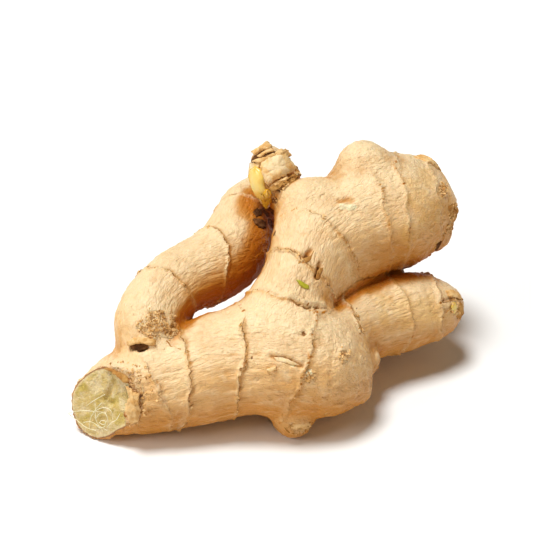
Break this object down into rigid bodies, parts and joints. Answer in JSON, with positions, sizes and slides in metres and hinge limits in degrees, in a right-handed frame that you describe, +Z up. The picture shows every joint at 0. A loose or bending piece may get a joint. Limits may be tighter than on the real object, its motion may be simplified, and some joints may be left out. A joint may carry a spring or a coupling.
{
  "type": "ginger root",
  "caption": "Fresh ginger root: a branched hand of ringed fingers with one cut end, lying on its side as it rests on a table.",
  "frame": {"origin": "under the middle of the root, on the surface that it lies on", "axes": "+X along the root's longest side, from the cut end towards the thick finger's tip; +Y away from the broad front side; +Z up"},
  "size_m": [0.1354, 0.1036, 0.074],
  "materials": {
    "skin": "thin dry peach-tan skin, satin, on firm moist root flesh"
  },
  "bodies": {
    "root": {"ginger_root": "skin"}
  },
  "joints": []
}
